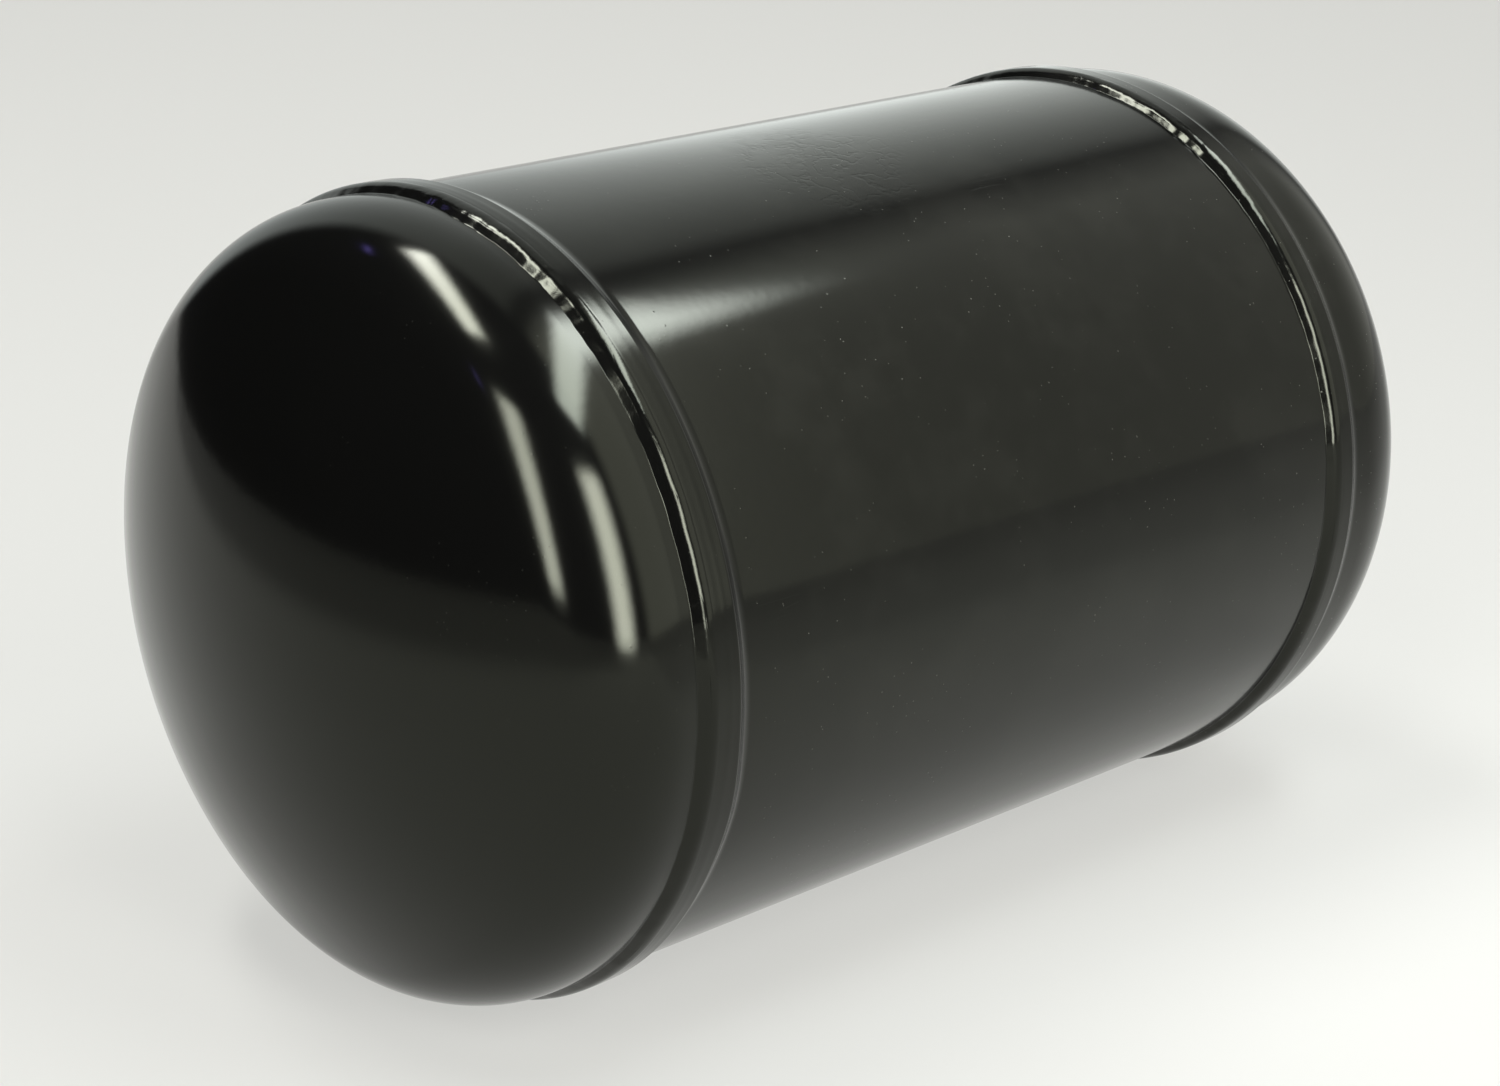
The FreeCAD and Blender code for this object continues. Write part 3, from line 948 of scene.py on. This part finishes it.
@dataclass
class SeamWeld:
    """The rippled bead along the back of the shell: a low arch carried along the tank."""

    sizes: TankSizes
    half_width: float = 4.0 * MM
    height: float = 1.1 * MM
    ripple: float = 0.09 * MM
    wander: float = 0.25 * MM
    sink: float = 0.08 * MM
    base_depth: float = 0.8 * MM
    pitch: float = 3.4 * MM
    across: int = 14

    def build(self, material: bpy.types.Material) -> bpy.types.Object:
        """Builds and dresses the bead.

        Args:
            material: The bead's finish.

        Returns:
            The bead.
        """
        low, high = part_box("seam_weld")
        sizes = self.sizes
        middle = (low[1] + high[1]) / 2, (low[2] + high[2]) / 2 - sizes.axis_height
        at = math.atan2(middle[1], -middle[0])
        along = np.arange(low[0], high[0], 0.4 * MM)[:, None]
        over = np.linspace(-1.0, 1.0, self.across)[None, :]
        travel = along / (high[0] - low[0]) * FULL_TURN
        edge = Waver(31, 8, 120, decay=0.5)(travel)
        wander = Waver(32, 2, 12, decay=1.0)(travel)
        ripple = np.cos(FULL_TURN * (along / self.pitch + 0.7 * over**2) + 0.6 * wander)
        taper = np.clip(np.minimum(along - low[0], high[0] - along) / (2.0 * MM), 0.02, 1.0)
        arch = (1.0 - over**2) * taper
        crown = arch * (self.height * (0.82 + 0.05 * wander) + self.ripple * ripple)
        side = self.half_width * (0.88 + 0.06 * edge) * over + self.wander * wander
        top_angle = at + side / sizes.shell_radius
        top_radius = sizes.shell_radius - self.sink + crown
        top = about_axis(along, top_radius, top_angle, sizes.axis_height)
        base_angle = at + side[:, ::-1] / sizes.shell_radius
        base_radius = sizes.shell_radius - self.base_depth
        base = about_axis(along, base_radius, base_angle, sizes.axis_height)
        rows = np.concatenate([top, base], axis=1)
        ends = [
            np.repeat(row.mean(axis=0)[None, None], rows.shape[1], axis=1) for row in (rows[0], rows[-1])
        ]
        item = ring_mesh("seam_weld_bead", np.concatenate([ends[0], rows, ends[1]]), Skin.POLES)
        return dress(item, material, "black_weld", "seam_weld")


@dataclass
class Boss:
    """A threaded boss and its fillet weld, built about their own axis and set on the shell."""

    sizes: TankSizes
    node: str
    radius: float = 14.0 * MM
    stand: float = 8.0 * MM
    bore: float = 10.25 * MM
    thread_depth: float = 0.75 * MM
    thread_pitch: float = 1.5 * MM
    reach: float = 2.5 * MM
    chamfer: float = 1.0 * MM
    edge: float = 0.5 * MM
    weld_leg: float = 4.0 * MM
    weld_pitch: float = 2.6 * MM
    weld_swell: float = 0.12 * MM
    weld_lump: float = 0.07 * MM
    weld_ripple: float = 0.05 * MM
    weld_sink: float = 0.1 * MM
    thread_fade: float = 0.6 * MM
    cutter_below: float = 12.0 * MM
    cutter_above: float = 6.0 * MM
    around: int = 160

    def frame_of(self) -> Tuple[float, float]:
        """Where the boss is along the tank, and its angle round it from the front."""
        low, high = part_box(self.node)
        lean_y, lean_z = (low[1] + high[1]) / 2, (low[2] + high[2]) / 2 - self.sizes.axis_height
        return (low[0] + high[0]) / 2, math.atan2(lean_z, -lean_y)

    def _set(self, lateral: np.ndarray, along: np.ndarray, height: np.ndarray) -> np.ndarray:
        """Places points about the boss's own axis.

        Args:
            lateral: Distances across the tank.
            along: Distances along the tank.
            height: Distances out from the tank's axis.

        Returns:
            The points, in the broadcast shape with a last axis of three.
        """
        x, angle = self.frame_of()
        lateral, along, height = np.broadcast_arrays(lateral, along, height)
        out = (-math.cos(angle), math.sin(angle))
        across = (math.sin(angle), math.cos(angle))
        return np.stack(
            [
                x + along,
                height * out[0] + lateral * across[0],
                self.sizes.axis_height + height * out[1] + lateral * across[1],
            ],
            axis=-1,
        )

    def build(
        self, paint: bpy.types.Material, weld: bpy.types.Material, thread: bpy.types.Material
    ) -> List[bpy.types.Object]:
        """Builds and dresses the boss and its weld.

        Args:
            paint: The boss's outside finish.
            weld: The weld's finish.
            thread: The bore's finish.

        Returns:
            The bush and the bead.
        """
        return [self._bush(paint, thread), self._weld(weld)]

    def drill(self, shell: bpy.types.Object) -> None:
        """Cuts the hole for the boss through the shell with a drum-shaped cutter."""
        turn = turns(96)[None, :]
        radius = np.array([0.0, 1.0, 1.0, 0.0])[:, None] * (self.bore + self.radius) / 2
        low = self.sizes.shell_radius - self.cutter_below
        high = self.sizes.shell_radius + self.cutter_above
        level = np.array([low, low, high, high])[:, None]
        rows = self._set(radius * np.cos(turn), radius * np.sin(turn), level)
        cutter = ring_mesh(f"{self.node}_cutter", rows, Skin.POLES)
        cut = shell.modifiers.new("drill", "BOOLEAN")
        cut.operation, cut.solver, cut.object = "DIFFERENCE", "EXACT", cutter
        bpy.context.view_layer.update()
        solved = shell.evaluated_get(bpy.context.evaluated_depsgraph_get())
        drilled = bpy.data.meshes.new_from_object(solved)
        shell.modifiers.clear()
        shell.data = drilled
        bpy.data.objects.remove(cutter)

    def _bush(self, paint: bpy.types.Material, thread: bpy.types.Material) -> bpy.types.Object:
        """The turned bush: outside, chamfered mouth, and a bore whose radius follows a thread.

        In the bore the radius is the bore plus a sawtooth of height over the pitch less the
        angle over a turn, so the grooves climb round it.
        """
        foot = self.sizes.shell_radius - self.sizes.sheet - self.reach
        top = self.sizes.shell_radius + self.stand
        turn = turns(self.around)[None, :]
        outside = [
            (self.bore + self.chamfer, foot),
            (self.radius - self.edge, foot),
            (self.radius, foot + self.edge),
            (self.radius, top - self.edge),
            (self.radius - self.edge * 0.3, top - self.edge * 0.3),
            (self.radius - self.edge, top),
            (self.bore + self.chamfer, top),
        ]
        solid = np.array(outside)
        outer_radius = np.repeat(solid[:, :1], self.around, axis=1)
        outer_height = np.repeat(solid[:, 1:], self.around, axis=1)
        steps = int((top - foot - 2.0 * self.chamfer) / self.thread_pitch * 10)
        height = np.linspace(top - self.chamfer, foot + self.chamfer, steps)[:, None]
        phase = (height / self.thread_pitch - turn / FULL_TURN) % 1.0
        groove = np.clip(1.35 * (1.0 - np.abs(2.0 * phase - 1.0)) - 0.15, 0.0, 1.0)
        from_end = np.minimum(height - foot - self.chamfer, top - self.chamfer - height)
        fade = np.clip(from_end / self.thread_fade, 0.0, 1.0)
        inner_radius = self.bore + self.thread_depth * groove * fade
        inner_height = np.broadcast_to(height, inner_radius.shape)
        radius = np.concatenate([outer_radius, inner_radius])
        level = np.concatenate([outer_height, inner_height])
        rows = self._set(radius * np.cos(turn), radius * np.sin(turn), level)
        item = ring_mesh(f"{self.node}_bush", rows, Skin.LOOP)
        dress(item, paint, "black_boss", self.node)
        item.data.materials.append(thread)
        bands = np.zeros(len(item.data.polygons), dtype=np.int32)
        bands[(len(outside) - 1) * self.around:] = 1
        item.data.polygons.foreach_set("material_index", bands)
        return item

    def _weld(self, material: bpy.types.Material) -> bpy.types.Object:
        """The fillet: from the boss's side down to the round shell, rippled as it went round.

        The foot at lateral distance c lies on the shell, at the root of R squared less c squared.
        """
        turn = turns(self.around * 2)[None, :]
        share = np.linspace(0.0, 1.0, 12)[:, None]
        seed = 40 + sum(ord(letter) for letter in self.node) % 17
        lumps = Waver(seed, 3, 26, decay=0.7)(turn)
        foot = Waver(seed + 1, 5, 40, decay=0.6)(turn)
        arc = turn * (self.radius + self.weld_leg / 2)
        ripple = np.cos(FULL_TURN * (arc / self.weld_pitch + 0.6 * share**2))
        body = np.sin(math.pi * share)
        reach = self.weld_leg * (0.93 + 0.03 * foot)
        radius = self.radius - self.weld_sink + share * reach
        bulge = body * (self.weld_swell + self.weld_lump * lumps + self.weld_ripple * ripple)
        lateral = radius * np.cos(turn)
        ground = np.sqrt(self.sizes.shell_radius**2 - lateral**2)
        height = ground + (1.0 - share) * self.weld_leg * (0.92 + 0.02 * lumps) + bulge - self.weld_sink
        under = np.array([0.8, 0.1])[:, None]
        low_radius = self.radius - 0.3 * MM + under * self.weld_leg
        low_lateral = low_radius * np.cos(turn)
        low_height = np.sqrt(self.sizes.shell_radius**2 - low_lateral**2) - 0.5 * MM
        rows = np.concatenate(
            [
                self._set(lateral, radius * np.sin(turn), height),
                self._set(low_lateral, low_radius * np.sin(turn), low_height),
            ]
        )
        item = ring_mesh(f"{self.node}_weld_bead", rows, Skin.LOOP)
        return dress(item, material, "black_weld", f"{self.node}_weld")


# ---------------------------------------------------------------------------------------------
# Studio
# ---------------------------------------------------------------------------------------------


@dataclass(frozen=True)
class Softbox:
    """A rectangular soft light that faces the front of the tank."""

    name: str
    centre: Tuple[float, float, float]
    long_side: Tuple[float, float, float]
    size: Tuple[float, float]
    radiance: float
    soft: Tuple[float, float] = (0.12, 0.45)
    colour: Colour = (1.0, 1.0, 0.97)

    def build(self, target: Vector) -> bpy.types.Object:
        """Hangs the light.

        Args:
            target: The point that it faces; its long side then lies as near as it can to the
                one given.

        Returns:
            The light.
        """
        light = bpy.data.lights.new(self.name, "AREA")
        light.shape = "RECTANGLE"
        light.size, light.size_y = self.size
        light.color = self.colour
        light.energy = self.radiance * math.pi * self.size[0] * self.size[1]
        back = (Vector(self.centre) - target).normalized()
        side = Vector(self.long_side)
        side = (side - back * side.dot(back)).normalized()
        item = bpy.data.objects.new(self.name, light)
        facing = Matrix((side, back.cross(side), back)).transposed()
        item.matrix_world = Matrix.Translation(self.centre) @ facing.to_4x4()
        item.visible_camera = False
        bpy.context.scene.collection.objects.link(item)
        self._diffuse(light)
        return item

    def _diffuse(self, light: bpy.types.Light) -> None:
        """Softens the edges: brightness rises smoothly over a share of each side."""
        light.use_nodes = True
        graph = Graph(light.node_tree)
        parts = graph.tree.nodes.new("ShaderNodeSeparateXYZ")
        spot = graph.tree.nodes.new("ShaderNodeNewGeometry").outputs["Parametric"]
        graph.tree.links.new(spot, parts.inputs[0])
        glow: Value = 1.0
        for socket, soft in zip(parts.outputs, self.soft):
            across = (Wire(graph, socket) - 0.5).magnitude() * 2.0
            glow = across.ramp(1.0, 1.0 - 2.0 * soft) * glow
        emission = graph.node("ShaderNodeEmission", {}, Strength=glow)
        graph.node("ShaderNodeOutputLight", {}, emission)


SOFTBOXES = (
    Softbox("overhead_softbox", (-0.79, 0.96, 3.84), (0.65, 0.76, -0.11), (2.9, 0.95), 27.0),
    Softbox("left_softbox", (-3.97, -1.88, 2.44), (0.38, 0.29, 0.88), (4.6, 1.45), 16.0),
    Softbox("front_softbox", (-0.53, -1.78, 0.81), (0.11, 0.33, 0.94), (1.75, 0.80), 20.0),
    Softbox(
        name="right_softbox",
        centre=(0.235, -0.43, 1.23),
        long_side=(0.78, 0.62, -0.10),
        size=(1.2, 0.36),
        radiance=17.0,
        soft=(0.12, 0.34),
        colour=(0.94, 0.99, 1.0),
    ),
    Softbox("upper_glint", (-0.58, 1.88, 2.42), (0.9, 0.3, 0.0), (0.42, 0.13), 6.0, ALL_SOFT, VIOLET),
    Softbox("left_glint", (-2.05, -0.14, 2.33), (0.7, 0.5, 0.3), (0.42, 0.11), 4.0, ALL_SOFT, VIOLET),
)


@dataclass
class Studio:
    """A pale floor, a room, soft lights and the camera.

    The floor glows pale, and its glow and its diffuse colour carry painted shade in two places:
    far off to the front left, where floor_far of them is left, and past a slanting edge at the
    front right, where floor_beside is left. In between, a painted pool of light by the tank is
    brighter by floor_pool. A pair of places is where such a change begins and where it is
    complete, in metres. The room is dim at the front of the tank and pale towards its rear:
    near_walls and far_walls are its levels at wall_places, for directions less and more along the tank.
    """

    sizes: TankSizes
    aim_y: float = -0.04
    floor_reach: float = 12.0
    floor_colour: Colour = (0.17, 0.17, 0.165)
    floor_glow: Colour = (0.52, 0.52, 0.50)
    floor_far: float = 0.5
    floor_pool: float = 1.14
    floor_beside: float = 0.74
    far_x: Tuple[float, float] = (-0.65, -1.3)
    far_y: Tuple[float, float] = (-0.8, -1.6)
    far_y_from_x: Tuple[float, float] = (0.0, -0.6)
    pool_x: Tuple[float, float] = (-0.12, 0.06)
    pool_y: Tuple[float, float] = (-0.12, -0.24)
    edge_slope: float = 0.57
    edge_past: Tuple[float, float] = (0.40, 0.80)
    edge_from_x: Tuple[float, float] = (0.0, 0.12)
    backdrop_glow: Colour = (0.56, 0.56, 0.54)
    wall_places: Tuple[float, ...] = (0.20, 0.42, 0.485, 0.520, 0.560, 0.72, 0.95)
    near_walls: Tuple[float, ...] = (1.60, 1.50, 0.10, 0.08, 0.54, 0.75, 0.70)
    far_walls: Tuple[float, ...] = (0.68, 0.76, 0.35, 0.14, 0.58, 1.36, 2.00)
    wall_lean: float = 0.43
    wall_reach: float = 1.14
    far_walls_from: Tuple[float, float] = (0.58, 0.70)
    walls_from: Tuple[float, float] = (0.05, 0.22)
    front_dark: Colour = (0.012, 0.012, 0.012)
    lens: float = 77.1
    sensor: float = 36.0
    camera_from_toe: Tuple[float, float, float] = (-4.4956, -5.9231, 2.5883)
    camera_looks: Tuple[float, float, float] = (0.6525, 0.690, -0.3132)

    def build(self) -> None:
        """Builds the floor, the room, the lights and the camera."""
        self._floor()
        self._backdrop()
        self._room()
        target = Vector((self.sizes.front_tangent, self.aim_y, self.sizes.axis_height))
        for softbox in SOFTBOXES:
            softbox.build(target)
        self._camera()

    def _floor(self) -> None:
        """A large flat floor, level with the lowest point of the tank, glowing pale, with painted shade
        and a painted pool of light in its glow and its colour.
        """
        reach = self.floor_reach
        mesh = bpy.data.meshes.new("studio_floor")
        corners = [(x * reach, y * reach, 0.0) for x, y in ((-1, -1), (1, -1), (1, 1), (-1, 1))]
        mesh.from_pydata(corners, [], [(0, 1, 2, 3)])
        floor = bpy.data.objects.new("studio_floor", mesh)
        bpy.context.scene.collection.objects.link(floor)
        material = bpy.data.materials.new("studio_floor")
        material.use_nodes = True
        graph = Graph(material.node_tree)
        parts = graph.tree.nodes.new("ShaderNodeSeparateXYZ")
        graph.feed(parts.inputs[0], graph.place())
        x, y = (Wire(graph, socket) for socket in parts.outputs[:2])
        # Painted shade and a painted pool of light: one factor scales the floor's glow and its diffuse
        # colour. It is dimmer far off at the front left and past the front-right edge, and brighter in a
        # pool by the tank.
        dim = (x.ramp(*self.far_x) + y.ramp(*self.far_y) * x.ramp(*self.far_y_from_x)).ramp(0.0, 1.0)
        pool = x.ramp(*self.pool_x) * y.ramp(*self.pool_y)
        beside = (x * self.edge_slope - y).ramp(*self.edge_past) * x.ramp(*self.edge_from_x)
        painted_light = (1.0 - dim * (1.0 - self.floor_far)) * (1.0 + pool * (self.floor_pool - 1.0))
        painted_light = painted_light * (1.0 - beside * (1.0 - self.floor_beside))
        # The diffuse colour takes the same painted shade and painted light as the glow.
        matte_colour = graph.mix(painted_light, rgba(BLACK), rgba(self.floor_colour))
        matte = graph.node("ShaderNodeBsdfDiffuse", {}, Color=matte_colour)
        glow = graph.node("ShaderNodeEmission", {}, Color=rgba(self.floor_glow), Strength=painted_light)
        shader = graph.node("ShaderNodeAddShader", {}, matte, glow)
        graph.node("ShaderNodeOutputMaterial", {}, shader)
        mesh.materials.append(material)

    def _backdrop(self) -> None:
        """A pale round backdrop past the floor, which only the camera sees."""
        turn = turns(96)[None, :]
        radius, foot, top = self.floor_reach * 0.97, -0.05, self.floor_reach
        wide = np.array([radius, radius, 0.0])[:, None]
        level = np.array([foot, top, top])[:, None]
        points = np.stack(np.broadcast_arrays(wide * np.cos(turn), wide * np.sin(turn), level), axis=-1)
        under = points[:1] * (0.0, 0.0, 1.0)
        wall = ring_mesh("studio_backdrop", np.concatenate([under, points]), Skin.POLES)
        material = bpy.data.materials.new("studio_backdrop")
        material.use_nodes = True
        graph = Graph(material.node_tree)
        glow = graph.node("ShaderNodeEmission", {}, Color=rgba(self.backdrop_glow), Strength=1.0)
        graph.node("ShaderNodeOutputMaterial", {}, glow)
        wall.data.materials.append(material)
        wall.visible_diffuse = wall.visible_glossy = False
        wall.visible_transmission = wall.visible_shadow = False

    def _room(self) -> None:
        """The room's light by direction: dim at the front, pale towards the rear of the tank."""
        world = bpy.data.worlds.new("studio_room")
        world.use_nodes = True
        bpy.context.scene.world = world
        graph = Graph(world.node_tree)
        where = graph.tree.nodes.new("ShaderNodeTexCoord").outputs["Generated"]
        parts = graph.tree.nodes.new("ShaderNodeSeparateXYZ")
        graph.tree.links.new(where, parts.inputs[0])
        along = Wire(graph, parts.outputs[0])
        across = Wire(graph, parts.outputs[1])
        side = (across - along * self.wall_lean + self.wall_reach) * 0.5
        walls = [
            graph.node("ShaderNodeValToRGB", {"stops": self._greys(levels)}, side)
            for levels in (self.near_walls, self.far_walls)
        ]
        wall = graph.mix(along.ramp(*self.far_walls_from), *walls)
        colour = graph.mix(along.ramp(*self.walls_from), rgba(self.front_dark), wall)
        background = graph.node("ShaderNodeBackground", {}, Color=colour, Strength=1.0)
        graph.node("ShaderNodeOutputWorld", {}, background)

    def _greys(self, levels: Sequence[float]) -> List[Tuple[float, Colour]]:
        """Ramp stops from the front to the back: warm at the front and cool at the back."""
        return [
            (place, (level * (1.0 - 0.01 * k), level, level * (0.91 + 0.01 * k)))
            for k, (place, level) in enumerate(zip(self.wall_places, levels))
        ]

    def _camera(self) -> None:
        """The camera, front left of the tank and above it, placed in shell radii from the toe."""
        data = bpy.data.cameras.new("camera")
        data.sensor_width = self.sensor
        data.lens = self.lens
        data.clip_start, data.clip_end = 0.05, 100.0
        camera = bpy.data.objects.new("camera", data)
        joint = Vector((self.sizes.front_toe, 0.0, self.sizes.axis_height))
        camera.location = joint + Vector(self.camera_from_toe) * self.sizes.shell_radius
        camera.rotation_euler = Vector(self.camera_looks).to_track_quat("-Z", "Y").to_euler()
        bpy.context.scene.collection.objects.link(camera)
        bpy.context.scene.camera = camera


def main() -> None:
    """Builds the tank, then the studio."""
    logging.basicConfig(level=logging.INFO, format="%(message)s")
    sizes = TankSizes.from_frame()
    LOG.info("axis %.4f, socket radius %.4f", sizes.axis_height, sizes.socket_radius)
    paint = Enamel("black_enamel").build()
    weld = Enamel("black_enamel_on_weld", peel_height=0.02 * MM, pits=True).build()
    thread = BareThread().build()
    bosses = [Boss(sizes, node) for node in ("inlet_boss", "outlet_boss", "drain_boss")]
    Shell(sizes).build(paint, bosses)
    Head(sizes).build(paint)
    Head(sizes, is_cap=True).build(paint)
    front_girth = GirthWeld(
        sizes,
        name="front_girth_bead",
        node="front_girth_weld",
        toe=sizes.front_toe,
        section=sizes.front_bead,
        seed=51,
        widening=0.9 * MM,
    )
    rear_girth = GirthWeld(
        sizes,
        name="rear_girth_bead",
        node="rear_girth_weld",
        toe=sizes.rear_toe,
        section=sizes.rear_bead,
        seed=61,
    )
    front_girth.build(weld)
    rear_girth.build(weld)
    SeamWeld(sizes).build(weld)
    for boss in bosses:
        boss.build(paint, weld, thread)
    Studio(sizes).build()
    bpy.context.scene.view_settings.view_transform = "Standard"


if __name__ == "__main__":
    main()
